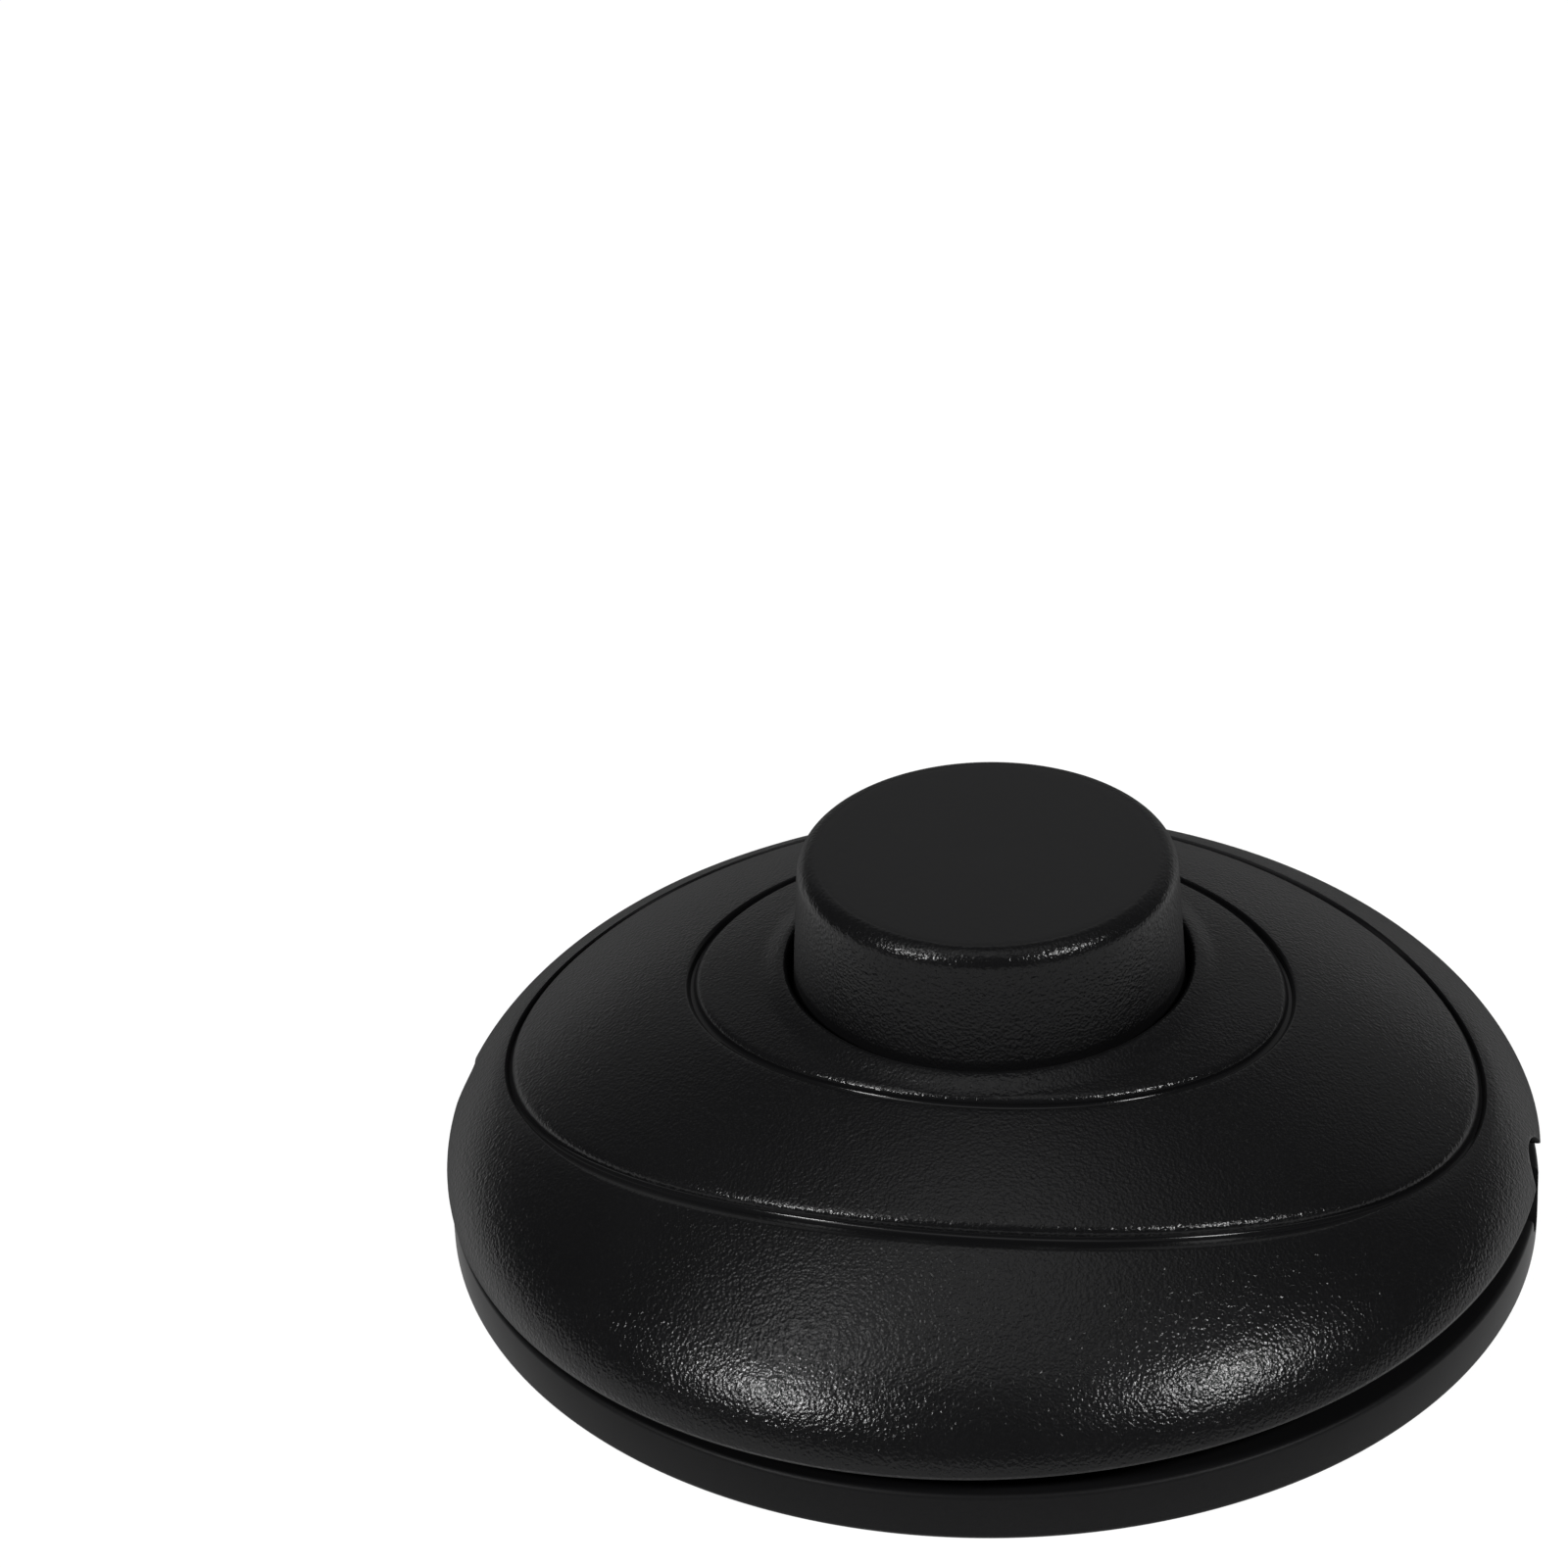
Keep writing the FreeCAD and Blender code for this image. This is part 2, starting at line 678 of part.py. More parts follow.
live_places, neutral_places = terminal_places()
nodes = {
    "housing_cover": housing_cover(),
    "push_button": push_button(),
    "base_plate": base_plate(),
    "drive_plunger": drive_plunger(),
    "ratchet_rotor": ratchet_rotor(),
    "contact_bridge": contact_bridge(),
    "axle_pin": axle_pin(),
    "rotor_cage": rotor_cage(),
    "cage_screws": cage_screws(),
    "return_spring": return_spring(),
    "live_in_strip": live_strip(-1),
    "live_out_strip": live_strip(1),
    "live_in_contact": live_contact(-1),
    "live_out_contact": live_contact(1),
    "neutral_link": neutral_link(),
    "live_terminal_screws": terminal_screws(live_places),
    "neutral_terminal_screws": terminal_screws(neutral_places),
    "wire_clamp_plates": wire_clamp_plates(),
    "cord_clamp_left": cord_clamp(-1),
    "cord_clamp_right": cord_clamp(1),
    "clamp_screws_left": clamp_screws(-1),
    "clamp_screws_right": clamp_screws(1),
    "case_screws": case_screws(),
}

os.makedirs("parts", exist_ok=True)
for name, shape in nodes.items():
    shape.exportStep(os.path.join("parts", name + ".step"))
    print(name, "solids", len(shape.Solids), "valid", shape.isValid(), "volume", round(shape.Volume, 2))
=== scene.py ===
# %% [markdown]
# # A lamp foot switch
# The switch is a round black box that sits in a lamp's cord and is pressed with the foot: a domed cover,
# a push button in the middle of it and a flat base. The mechanism inside comes from the CAD model as it is.
# Everything is in metres, in the frame of the CAD model: +Z up, front towards -Y, cord entries on -X and +X.

# %% Load the frame
import json
import math

import bmesh
import bpy
import numpy as np
from mathutils import Matrix, Vector


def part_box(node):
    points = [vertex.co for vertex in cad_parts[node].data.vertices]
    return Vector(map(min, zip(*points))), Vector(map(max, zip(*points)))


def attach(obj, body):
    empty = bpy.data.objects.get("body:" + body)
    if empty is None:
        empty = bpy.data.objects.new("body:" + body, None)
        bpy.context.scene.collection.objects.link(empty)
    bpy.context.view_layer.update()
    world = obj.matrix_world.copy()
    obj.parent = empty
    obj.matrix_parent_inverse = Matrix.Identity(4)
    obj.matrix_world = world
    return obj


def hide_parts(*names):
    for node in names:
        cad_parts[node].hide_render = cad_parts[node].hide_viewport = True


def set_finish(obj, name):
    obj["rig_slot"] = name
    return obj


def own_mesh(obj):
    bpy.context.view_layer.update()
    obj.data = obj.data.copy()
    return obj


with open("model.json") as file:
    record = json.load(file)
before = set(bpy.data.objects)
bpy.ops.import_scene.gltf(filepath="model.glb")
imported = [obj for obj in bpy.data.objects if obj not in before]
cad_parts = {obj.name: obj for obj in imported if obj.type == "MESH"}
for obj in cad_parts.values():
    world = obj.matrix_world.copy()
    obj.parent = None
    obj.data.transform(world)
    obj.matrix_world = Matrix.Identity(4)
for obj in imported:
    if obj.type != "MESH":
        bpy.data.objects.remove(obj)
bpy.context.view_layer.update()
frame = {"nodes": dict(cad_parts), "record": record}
MM = 0.001

# %% [markdown]
# ## The skin of the cover as a formula
# The cover is a shallow ball cap that rolls over a shoulder into an upright rim. A ball and two Bezier curves
# say the same thing in a few numbers, and every ring of the mesh can then ask them for its height or radius.
# The widths and tops that the CAD boxes already hold are read from there.

# %% Sizes of the cover
cover_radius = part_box("housing_cover")[1].y
dome_top = 19.05 * MM
shoulder_radius = cover_radius - 3.6 * MM
shoulder_height = 9.46 * MM
shoulder_reach = 1.8 * MM
flank_reach = 2.0 * MM
rim_height = 4.3 * MM
rim_tuck = 0.3 * MM
cover_wall = 2.0 * MM
rim_wall = 2.2 * MM
base_height = 3.2 * MM
dome_rise = dome_top - shoulder_height
dome_radius = (shoulder_radius ** 2 + dome_rise ** 2) / (2 * dome_rise)
dome_centre = dome_top - dome_radius
inner_dome = dome_radius - cover_wall
print("dome radius", round(dome_radius / MM, 2), "mm on a cover", round(2 * cover_radius / MM, 2), "mm across")

# %% Heights and radii of the skin
def dome_height(radius, reach=dome_radius):
    return dome_centre + math.sqrt(reach ** 2 - radius ** 2)


def bezier(poles, count=200):
    """Points along a Bezier curve, by repeated halving of its poles."""
    share = np.linspace(0, 1, count)[:, None]
    level = [np.array(pole) * np.ones((count, 1)) for pole in poles]
    while len(level) > 1:
        level = [a + (b - a) * share for a, b in zip(level, level[1:])]
    return level[0]


slope = math.asin(shoulder_radius / dome_radius)
shoulder = (shoulder_radius, shoulder_height)
shoulder_handle = (shoulder_radius + shoulder_reach * math.cos(slope),
                   shoulder_height - shoulder_reach * math.sin(slope))
widest = (cover_radius, rim_height)
hem = (cover_radius - rim_tuck, base_height)
rim_curve = bezier([hem, (cover_radius, (rim_height + base_height) / 2), widest])
flank_curve = bezier([widest, (cover_radius, rim_height + flank_reach), shoulder_handle, shoulder])
side_curve = np.vstack([rim_curve, flank_curve[1:]])


def skin_height(radius):
    """Height of the outer skin over a point at this radius."""
    if radius <= shoulder_radius:
        return dome_height(radius)
    return float(np.interp(radius, flank_curve[::-1, 0], flank_curve[::-1, 1]))


def skin_radius(height):
    """Radius of the rolled side at this height."""
    return float(np.interp(height, side_curve[:, 1], side_curve[:, 0]))


print("shoulder at", [round(value / MM, 2) for value in shoulder], "mm, slope", round(math.degrees(slope), 1))

# %% [markdown]
# ## Growing a skin ring by ring
# A lathe could turn the cover, but its two grooves are ovals, and a lathe mesh would cross them at a slant.
# So the mesh grows from the rim of the hole outwards: each extrude adds one ring, and each resize stretches it
# from a circle into an oval and back. The grooves are then whole loops, with no cut faces beside them.
# Each point also keeps a number called grain, which tells the material where the moulded texture ends.

# %% Ring tools
ring_points = 256


def first_ring(name, radius, height):
    """Start a piece as one circle of points, in edit mode and selected."""
    bpy.ops.object.select_all(action="DESELECT")
    bpy.ops.mesh.primitive_circle_add(vertices=ring_points, radius=radius)
    piece = bpy.context.object
    piece.name = name
    piece.data.name = name
    bpy.ops.object.mode_set(mode="EDIT")
    bpy.ops.mesh.select_mode(type="VERT")
    bpy.ops.mesh.select_all(action="SELECT")
    bpy.ops.transform.translate(value=(0, 0, height))
    mesh = bmesh.from_edit_mesh(piece.data)
    mesh.verts.layers.float.new("grain")
    mesh.verts.layers.float.new("turn")
    turn = mesh.verts.layers.float["turn"]
    for point in mesh.verts:
        point[turn] = math.atan2(point.co.y, point.co.x)
    return piece


def open_ring():
    """The mesh in edit mode, its selected ring, and its layers of grain and turn.

    The caller keeps the mesh as long as it uses the ring, because the points are lost with it.
    """
    mesh = bmesh.from_edit_mesh(bpy.context.object.data)
    ring = [point for point in mesh.verts if point.select]
    return mesh, ring, mesh.verts.layers.float["grain"], mesh.verts.layers.float["turn"]


def next_ring(half_length, half_width, height, grain=0.0, widen=None):
    """Extrude the open ring to a new oval.

    The height is a number or a function of the radius. Widen pairs a number with a function of the turn: the
    oval grows by that number times that function.
    """
    bpy.ops.mesh.extrude_region_move()
    mesh, ring, layer, turn = open_ring()
    stretch_x = half_length / max(point.co.x for point in ring)
    stretch_y = half_width / max(point.co.y for point in ring)
    bpy.ops.transform.resize(value=(stretch_x, stretch_y, 1), center_override=(0, 0, 0))
    mesh, ring, layer, turn = open_ring()
    for point in ring:
        growth = widen[0] * widen[1](point[turn]) if widen else 0.0
        point.co.x = (half_length + growth) * math.cos(point[turn])
        point.co.y = (half_width + growth) * math.sin(point[turn])
        point.co.z = height(math.hypot(point.co.x, point.co.y)) if callable(height) else height
        point[layer] = grain


def close_piece(merge=1e-6):
    """Merge what coincides, cap what is open, turn all faces outwards and leave edit mode."""
    bpy.ops.mesh.select_all(action="SELECT")
    bpy.ops.mesh.remove_doubles(threshold=merge)
    bpy.ops.mesh.fill_holes(sides=0)
    bpy.ops.mesh.select_all(action="SELECT")
    bpy.ops.mesh.normals_make_consistent(inside=False)
    bpy.ops.object.mode_set(mode="OBJECT")


print("each ring has", ring_points, "points")

# %% [markdown]
# ## Lip round the button
# The hole has a soft raised lip: a small round at the edge of the hole, then a low swell that runs out into the
# dome before the inner groove. So the first rings climb the wall of the hole, go over the round and follow half
# a cosine wave down.

# %% Hole and lip
button_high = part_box("push_button")[1]
flange_width = 2.2 * MM
hole_radius = button_high.x - flange_width
lip_round = 0.3 * MM
lip_rise = 0.28 * MM
lip_run = 1.5 * MM
collar_wall = 1.6 * MM
collar_drop = 1.4 * MM
collar_radius = hole_radius + collar_wall
collar_bottom = dome_height(collar_radius, inner_dome) - collar_drop
lip_radius = hole_radius + lip_round


def swell(radius):
    """Height of the skin near the hole, with the lip's swell on it."""
    share = min(1.0, max(0.0, (radius - lip_radius) / lip_run))
    return dome_height(radius) + lip_rise * (1 + math.cos(math.pi * share)) / 2


cover = first_ring("cover_shell", hole_radius, collar_bottom)
lip_height = swell(lip_radius) - lip_round
next_ring(hole_radius, hole_radius, (collar_bottom + lip_height) / 2)
round_steps = 6
for step in range(round_steps):
    angle = math.radians(180 - 90 * step / round_steps)
    radius = lip_radius + lip_round * math.cos(angle)
    next_ring(radius, radius, lip_height + lip_round * math.sin(angle), grain=step / round_steps)
lip_foot = lip_radius + lip_run
lip_steps = 12
for step in range(lip_steps + 1):
    radius = lip_radius + lip_run * step / lip_steps
    next_ring(radius, radius, swell, grain=1.0)
print("hole", round(2 * hole_radius / MM, 2), "mm, lip stands", round(lip_rise / MM, 2), "mm proud")

# %% [markdown]
# ## The two oval grooves
# Each groove is a list with three numbers for each ring: how far it lies from the oval's own line, how deep,
# and how grained. Both grooves have a round inner shoulder and a steep inner wall. The outer one then rises in
# a long smooth slope, which shows up as a polished crescent at the front and narrows to a plain line towards
# the ends of the oval. The panels between are plain rings that change from one oval to the next.

# %% Panels and grooves
inner_oval = (hole_radius + 6.05 * MM, hole_radius + 2.25 * MM)
outer_oval = (cover_radius - 3.8 * MM, cover_radius - 11.1 * MM)
inner_groove = [
    (-0.64, 0.0, 1.0), (-0.52, 0.018, 1.0), (-0.43, 0.06, 1.0), (-0.36, 0.115, 0.9), (-0.31, 0.18, 0.7),
    (-0.27, 0.27, 0.3), (-0.25, 0.36, 0.0), (-0.2, 0.44, 0.0), (-0.08, 0.45, 0.0), (0.06, 0.42, 0.0),
    (0.18, 0.22, 0.0), (0.27, 0.08, 0.0), (0.34, 0.02, 0.4), (0.42, 0.0, 1.0)]
outer_groove = [
    (-0.62, 0.0, 1.0), (-0.5, 0.018, 1.0), (-0.41, 0.06, 1.0), (-0.34, 0.115, 0.9), (-0.29, 0.18, 0.7),
    (-0.25, 0.27, 0.3), (-0.23, 0.38, 0.0), (-0.18, 0.48, 0.0), (-0.1, 0.5, 0.0), (0.0, 0.48, 0.0),
    (0.2, 0.37, 0.0), (0.4, 0.25, 0.0), (0.6, 0.13, 0.0), (0.76, 0.04, 0.0), (0.84, 0.012, 0.5),
    (0.94, 0.0, 1.0)]
slope_start = 0.4
slope_span = 0.5
slope_least = 0.25


def panel(start, end, count):
    """Grained rings on the skin that change from one oval into another, both ends left out."""
    for step in range(1, count):
        share = step / count
        half_length = start[0] + (end[0] - start[0]) * share
        half_width = start[1] + (end[1] - start[1]) * share
        next_ring(half_length, half_width, skin_height, grain=1.0)


def slope_width(turn):
    """Share of its full width that the slope has at a turn: narrow near the ends of the oval."""
    share = min(1.0, max(0.0, (abs(math.sin(turn)) - slope_start) / slope_span))
    return slope_least + (1 - slope_least) * share * share * (3 - 2 * share)


def groove(oval, section, width):
    """Rings along an oval; the section gives distance outwards and depth in mm, and the grain there."""
    for outwards, depth, grain in section:
        start = min(outwards, 0.0) * MM
        growth = max(outwards, 0.0) * MM
        next_ring(oval[0] + start, oval[1] + start, lambda radius: skin_height(radius) - depth * MM, grain,
                  (growth, width))


def beside(oval, outwards):
    return oval[0] + outwards * MM, oval[1] + outwards * MM


panel((lip_foot, lip_foot), beside(inner_oval, inner_groove[0][0]), 9)
groove(inner_oval, inner_groove, lambda turn: 1.0)
panel(beside(inner_oval, inner_groove[-1][0]), beside(outer_oval, outer_groove[0][0]), 22)
groove(outer_oval, outer_groove, slope_width)
side_start = cover_radius - 1.8 * MM
panel(beside(outer_oval, outer_groove[-1][0]), (side_start, side_start), 18)
print("ovals in mm", [round(2 * side / MM, 1) for side in inner_oval + outer_oval])

# %% [markdown]
# ## Rolled side and sloping hem
# From here down the rings are circles again. The cover doesn't sit flat on the base: the seam is a hair wide at
# the left and two millimetres at the right. So the lower rings share out the height that is left between the
# shoulder and a sloping plane, and each point takes its radius from the side's own curve.

# %% Side, hem and inside
seam_narrow = 0.1 * MM
seam_wide = 2.0 * MM
seam_heading = math.radians(-5)


def seam_height(point):
    along = (point.x * math.cos(seam_heading) + point.y * math.sin(seam_heading)) / cover_radius
    return base_height + (seam_narrow + seam_wide) / 2 + along * (seam_wide - seam_narrow) / 2


def side_ring(share, lift=0.0, inset=0.0, grain=1.0):
    """Ring on the rolled side, a share of the way from its start down to the hem."""
    next_ring(side_start, side_start, 0.0, grain)
    mesh, ring, layer, turn = open_ring()
    top = skin_height(side_start)
    for point in ring:
        low = seam_height(point.co) + lift
        point.co.z = top + (low - top) * share
        reach = skin_radius(point.co.z) - inset
        stretch = reach / math.hypot(point.co.x, point.co.y)
        point.co.x *= stretch
        point.co.y *= stretch


def hem_ring(radius):
    """Ring on the sloping seam plane."""
    next_ring(radius, radius, 0.0)
    mesh, ring, layer, turn = open_ring()
    for point in ring:
        point.co.z = seam_height(point.co)


next_ring(side_start, side_start, skin_height, grain=1.0)
side_steps = 16
hem_lift = 0.3 * MM
hem_round = ((0.2, 0.01), (0.1, 0.05), (0.04, 0.12), (0.0, 0.25))
for step in range(1, side_steps + 1):
    side_ring(step / side_steps, lift=hem_lift)
for lift, inset in hem_round:
    side_ring(1.0, lift * MM, inset * MM, grain=0.4)
skirt_radius = cover_radius - rim_wall
hem_ring(skirt_radius + 0.2 * MM)
hem_ring(skirt_radius)
inner_steps = 10
for step in range(inner_steps + 1):
    radius = skirt_radius + (collar_radius - skirt_radius) * step / inner_steps
    next_ring(radius, radius, dome_height(radius, inner_dome))
next_ring(collar_radius, collar_radius, collar_bottom)
next_ring(hole_radius, hole_radius, collar_bottom)
close_piece()
print("cover shell", len(cover.data.polygons), "faces")

# %% [markdown]
# ## Screw bosses and cord arches
# Two posts hang from the inside of the dome and take the case screws from below. Each is a cylinder whose top
# is moved up into the wall. The Boolean modifier makes post and shell one body, then takes away the pilot holes
# and the round arches for the cord. Ring by ring these crossings would be hard to mesh.

# %% Boolean tools
def only(piece):
    """Select one object and nothing else, and make it the active one."""
    bpy.ops.object.select_all(action="DESELECT")
    piece.select_set(True)
    bpy.context.view_layer.objects.active = piece


def settle(piece):
    """Move an object's place and turn into its mesh."""
    only(piece)
    bpy.ops.object.transform_apply(location=True, rotation=True, scale=True)
    return piece


def post(radius, bottom, top, place):
    """Upright round post."""
    bpy.ops.object.select_all(action="DESELECT")
    bpy.ops.mesh.primitive_cylinder_add(vertices=48, radius=radius, depth=top - bottom,
                                        location=(place[0], place[1], (bottom + top) / 2))
    return settle(bpy.context.object)


def bar(radius, start, end, height):
    """Round bar along X."""
    bpy.ops.object.select_all(action="DESELECT")
    bpy.ops.mesh.primitive_cylinder_add(vertices=96, radius=radius, depth=end - start,
                                        location=((start + end) / 2, 0, height),
                                        rotation=(0, math.radians(90), 0))
    return settle(bpy.context.object)


def combine(piece, tools, operation):
    """Add tools to a piece (UNION) or take them away (DIFFERENCE), and delete the tools."""
    bpy.ops.object.select_all(action="DESELECT")
    for tool in tools:
        tool.select_set(True)
    bpy.context.view_layer.objects.active = tools[0]
    if len(tools) > 1:
        bpy.ops.object.join()
    only(piece)
    modifier = piece.modifiers.new("combine", "BOOLEAN")
    modifier.operation = operation
    modifier.solver = "EXACT"
    modifier.object = tools[0]
    bpy.ops.object.modifier_apply(modifier=modifier.name)
    bpy.data.objects.remove(tools[0])


print("Boolean tools ready")

# %% Bosses and arches
cord_bore_radius = 2.9 * MM
cord_axis = 3.9 * MM
ring_outer = skirt_radius - 0.5 * MM
ring_inner = ring_outer - 1.7 * MM
outside = cover_radius + rim_wall
case_screw_offset = ring_inner - 5.1 * MM
case_screw_hole = 1.6 * MM
boss_radius = 3.2 * MM
boss_bottom = base_height + 0.1 * MM
boss_top = dome_height(case_screw_offset)
pilot_top = 9.1 * MM
bosses = []
pilots = []
for side in (-1, 1):
    place = (0, side * case_screw_offset)
    boss = post(boss_radius, boss_bottom, boss_top, place)
    for point in boss.data.vertices:
        if point.co.z > boss_top - 1 * MM:
            point.co.z = dome_height(math.hypot(point.co.x, point.co.y)) - cover_wall / 2
    bosses.append(boss)
    pilots.append(post(case_screw_hole, 0, pilot_top, place))
combine(cover, bosses, "UNION")
arches = [bar(cord_bore_radius, ring_inner, outside, cord_axis),
          bar(cord_bore_radius, -outside, -ring_inner, cord_axis)]
combine(cover, arches + pilots, "DIFFERENCE")
print("cover with arches and bosses", len(cover.data.polygons), "faces")

# %% [markdown]
# ## Push button
# The button is a cap with a flat top, a soft edge, a slightly drafted side and a flange that the cover holds
# in. It is all circles, so the same ring tools turn it, from the middle of the top round to the inside. Feet
# have rubbed the top smooth, so the grain number is low there and rises over the edge.

# %% Turn the button
button_top = button_high.z
button_top_radius = 11.55 * MM
button_foot_radius = hole_radius - 0.2 * MM
button_top_round = 1.2 * MM
top_grain = 0.12
button_crown = 2.2 * MM
button_wall = 1.8 * MM
flange_radius = button_high.x
flange_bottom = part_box("push_button")[0].z
flange_top = flange_bottom + 1.4 * MM
pole_radius = 0.4 * MM

button = first_ring("button_cap", pole_radius, button_top)
flat_radius = button_top_radius - button_top_round
for share in (0.2, 0.4, 0.6, 0.8, 0.95, 1.0):
    next_ring(flat_radius * share, flat_radius * share, button_top, grain=top_grain)
draft = math.atan((button_foot_radius - button_top_radius) / (button_top - flange_top))
edge_steps = 12
grain_steps = 3
for step in range(1, edge_steps + 1):
    turn = math.radians(90) - (math.radians(90) - draft) * step / edge_steps
    radius = flat_radius + button_top_round * math.cos(turn)
    height = button_top - button_top_round * (1 - math.sin(turn))
    next_ring(radius, radius, height, grain=min(1.0, top_grain + step / grain_steps))
side_top = (radius, height)
wall_steps = 8
for step in range(1, wall_steps + 1):
    share = step / wall_steps
    radius = side_top[0] + (button_foot_radius - side_top[0]) * share
    next_ring(radius, radius, side_top[1] + (flange_top - side_top[1]) * share, grain=1.0)
print("button side leans", round(math.degrees(draft), 2), "degrees")

# %% [markdown]
# ## Inside of the button
# Under the flange the button is hollow, with a socket for the ratchet's driver. It never shows on the closed
# switch, but the mesh should be one closed wall, so the rings go on round the flange, up the inside of the wall
# and down the socket, and the last one is capped.

# %% Flange and inside of the button
cup_top = button_top - button_crown
cup_radius = button_foot_radius - button_wall
socket_radius = 4.03 * MM
stem_radius = 2.63 * MM
stem_foot = 14.83 * MM
for radius, height in ((flange_radius, flange_top), (flange_radius, flange_bottom), (cup_radius, flange_bottom),
                       (button_top_radius - button_wall, cup_top), (socket_radius, cup_top),
                       (socket_radius, stem_foot), (stem_radius, stem_foot), (stem_radius, cup_top),
                       (pole_radius, cup_top)):
    next_ring(radius, radius, height)
close_piece()
print("button", len(button.data.polygons), "faces, top at", round(button_top / MM, 2), "mm")

# %% [markdown]
# ## Base
# The base is a disc with softened edges and a locating ring that stands inside the cover's rim. A cylinder with
# bevels would come close, but the ring tools give the edges, the ring and the floor in one go, so it is turned
# like the button.

# %% Turn the base
base_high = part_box("base_plate")[1]
base_radius = base_high.x
ring_height = base_high.z
base_floor = 2.2 * MM
base_top_round = 0.3 * MM
base_bottom_round = 0.4 * MM

base = first_ring("base_disc", pole_radius, 0.0)
for share in (0.25, 0.5, 0.75, 0.9, 1.0):
    radius = (base_radius - base_bottom_round) * share
    next_ring(radius, radius, 0.0)
for step in range(1, round_steps + 1):
    turn = math.radians(-90 + 90 * step / round_steps)
    radius = base_radius - base_bottom_round * (1 - math.cos(turn))
    next_ring(radius, radius, base_bottom_round * (1 + math.sin(turn)))
for step in range(round_steps + 1):
    turn = math.radians(90 * step / round_steps)
    radius = base_radius - base_top_round * (1 - math.cos(turn))
    next_ring(radius, radius, base_height - base_top_round * (1 - math.sin(turn)))
for radius, height in ((ring_outer, base_height), (ring_outer, ring_height), (ring_inner, ring_height),
                       (ring_inner, base_floor), (ring_inner / 2, base_floor), (pole_radius, base_floor)):
    next_ring(radius, radius, height)
close_piece()
print("base disc", round(2 * base_radius / MM, 2), "mm across,", len(base.data.polygons), "faces")

# %% [markdown]
# ## Posts and holes of the base
# Posts for the terminals, the cord grips, the case screws and the rotor's pin stand on the floor of the base.
# Each is a cylinder whose foot is sunk in the floor, so that the Boolean modifier finds a clear crossing and
# makes one body of it all. The cord troughs and the screw holes are cut last, so that each hole goes through
# post and floor.

# %% Posts on the base
grip_reach = ring_inner - 3.6 * MM - 2.5 * MM
trough_start = grip_reach - 2.5 * MM
live_reach = trough_start - 1.2 * MM - 0.7 * MM - 0.6 * MM - 3.0 * MM
link_offset = case_screw_offset - boss_radius - 1.2 * MM - 2.5 * MM
link_reach = 8.5 * MM
grip_offset = cord_bore_radius + 3.5 * MM
terminals = [(-live_reach, 0), (live_reach, 0), (-link_reach, link_offset), (link_reach, link_offset)]
grips = [(x, y) for x in (-grip_reach, grip_reach) for y in (-grip_offset, grip_offset)]
case_places = [(0, -case_screw_offset), (0, case_screw_offset)]
post_foot = base_floor / 2
pin_boss_top = 4.5 * MM
strip_height = 3.9 * MM
grip_height = 4.4 * MM
pin_boss_radius = 3.0 * MM
terminal_post_radius = 3.0 * MM
grip_post_radius = 2.4 * MM
case_pad_radius = 4.0 * MM
posts = [post(pin_boss_radius, post_foot, pin_boss_top, (0, 0))]
posts += [post(terminal_post_radius, post_foot, strip_height, place) for place in terminals]
posts += [post(grip_post_radius, post_foot, grip_height, place) for place in grips]
posts += [post(case_pad_radius, post_foot, base_height, place) for place in case_places]
combine(base, posts, "UNION")
print("base with", len(posts), "posts")

# %% Holes and troughs in the base
def countersink(place):
    """Tool for a screw hole whose lower end is flared for the screw's head."""
    head, sink, head_height = 2.9 * MM, 0.3 * MM, 1.6 * MM
    tool = first_ring("countersink", head, -1 * MM)
    for radius, height in ((head, sink), (case_screw_hole, sink + head_height), (case_screw_hole, ring_height)):
        next_ring(radius, radius, height)
    close_piece()
    tool.location = (place[0], place[1], 0)
    return settle(tool)


trough_radius = cord_bore_radius + 0.4 * MM
for side in (-1, 1):
    entry = sorted((side * ring_outer, side * outside))
    trough = sorted((side * trough_start, side * ring_outer))
    combine(base, [bar(cord_bore_radius, *entry, cord_axis)], "DIFFERENCE")
    combine(base, [bar(trough_radius, *trough, cord_axis)], "DIFFERENCE")
screw_floor = 1.0 * MM
pin_floor = 0.8 * MM
terminal_hole = 1.35 * MM
grip_hole = 1.2 * MM
cage_hole = 1.1 * MM
cage_screw_head = 1.8 * MM
cage_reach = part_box("cage_screws")[1].x - cage_screw_head
holes = [post(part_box("axle_pin")[1].x, pin_floor, ring_height, (0, 0))]
holes += [post(terminal_hole, screw_floor, ring_height, place) for place in terminals]
holes += [post(grip_hole, screw_floor, ring_height, place) for place in grips]
holes += [post(cage_hole, screw_floor, ring_height, (reach, reach)) for reach in (-cage_reach, cage_reach)]
holes += [countersink(place) for place in case_places]
combine(base, holes, "DIFFERENCE")
print("base after its cuts", len(base.data.polygons), "faces")

# %% [markdown]
# ## Return spring
# The spring pushes the button up. A curve with a round bevel is the natural way to make a coil: its points
# climb a helix whose first and last turns lie flat, as on a spring with closed ends. It becomes a mesh at the
# end, because only a mesh can be squashed when the button goes down.

# %% Coil the spring
spring_low, spring_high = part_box("return_spring")
wire_radius = 0.45 * MM
coil_radius = spring_high.x - wire_radius
spring_turns = 5
steps_per_turn = 48


def coil_share(turn):
    """Share of the climb after a number of turns: flat for the first and last three quarters of a turn."""
    flat = 0.75
    return min(1.0, max(0.0, (turn - flat) / (spring_turns - 2 * flat)))


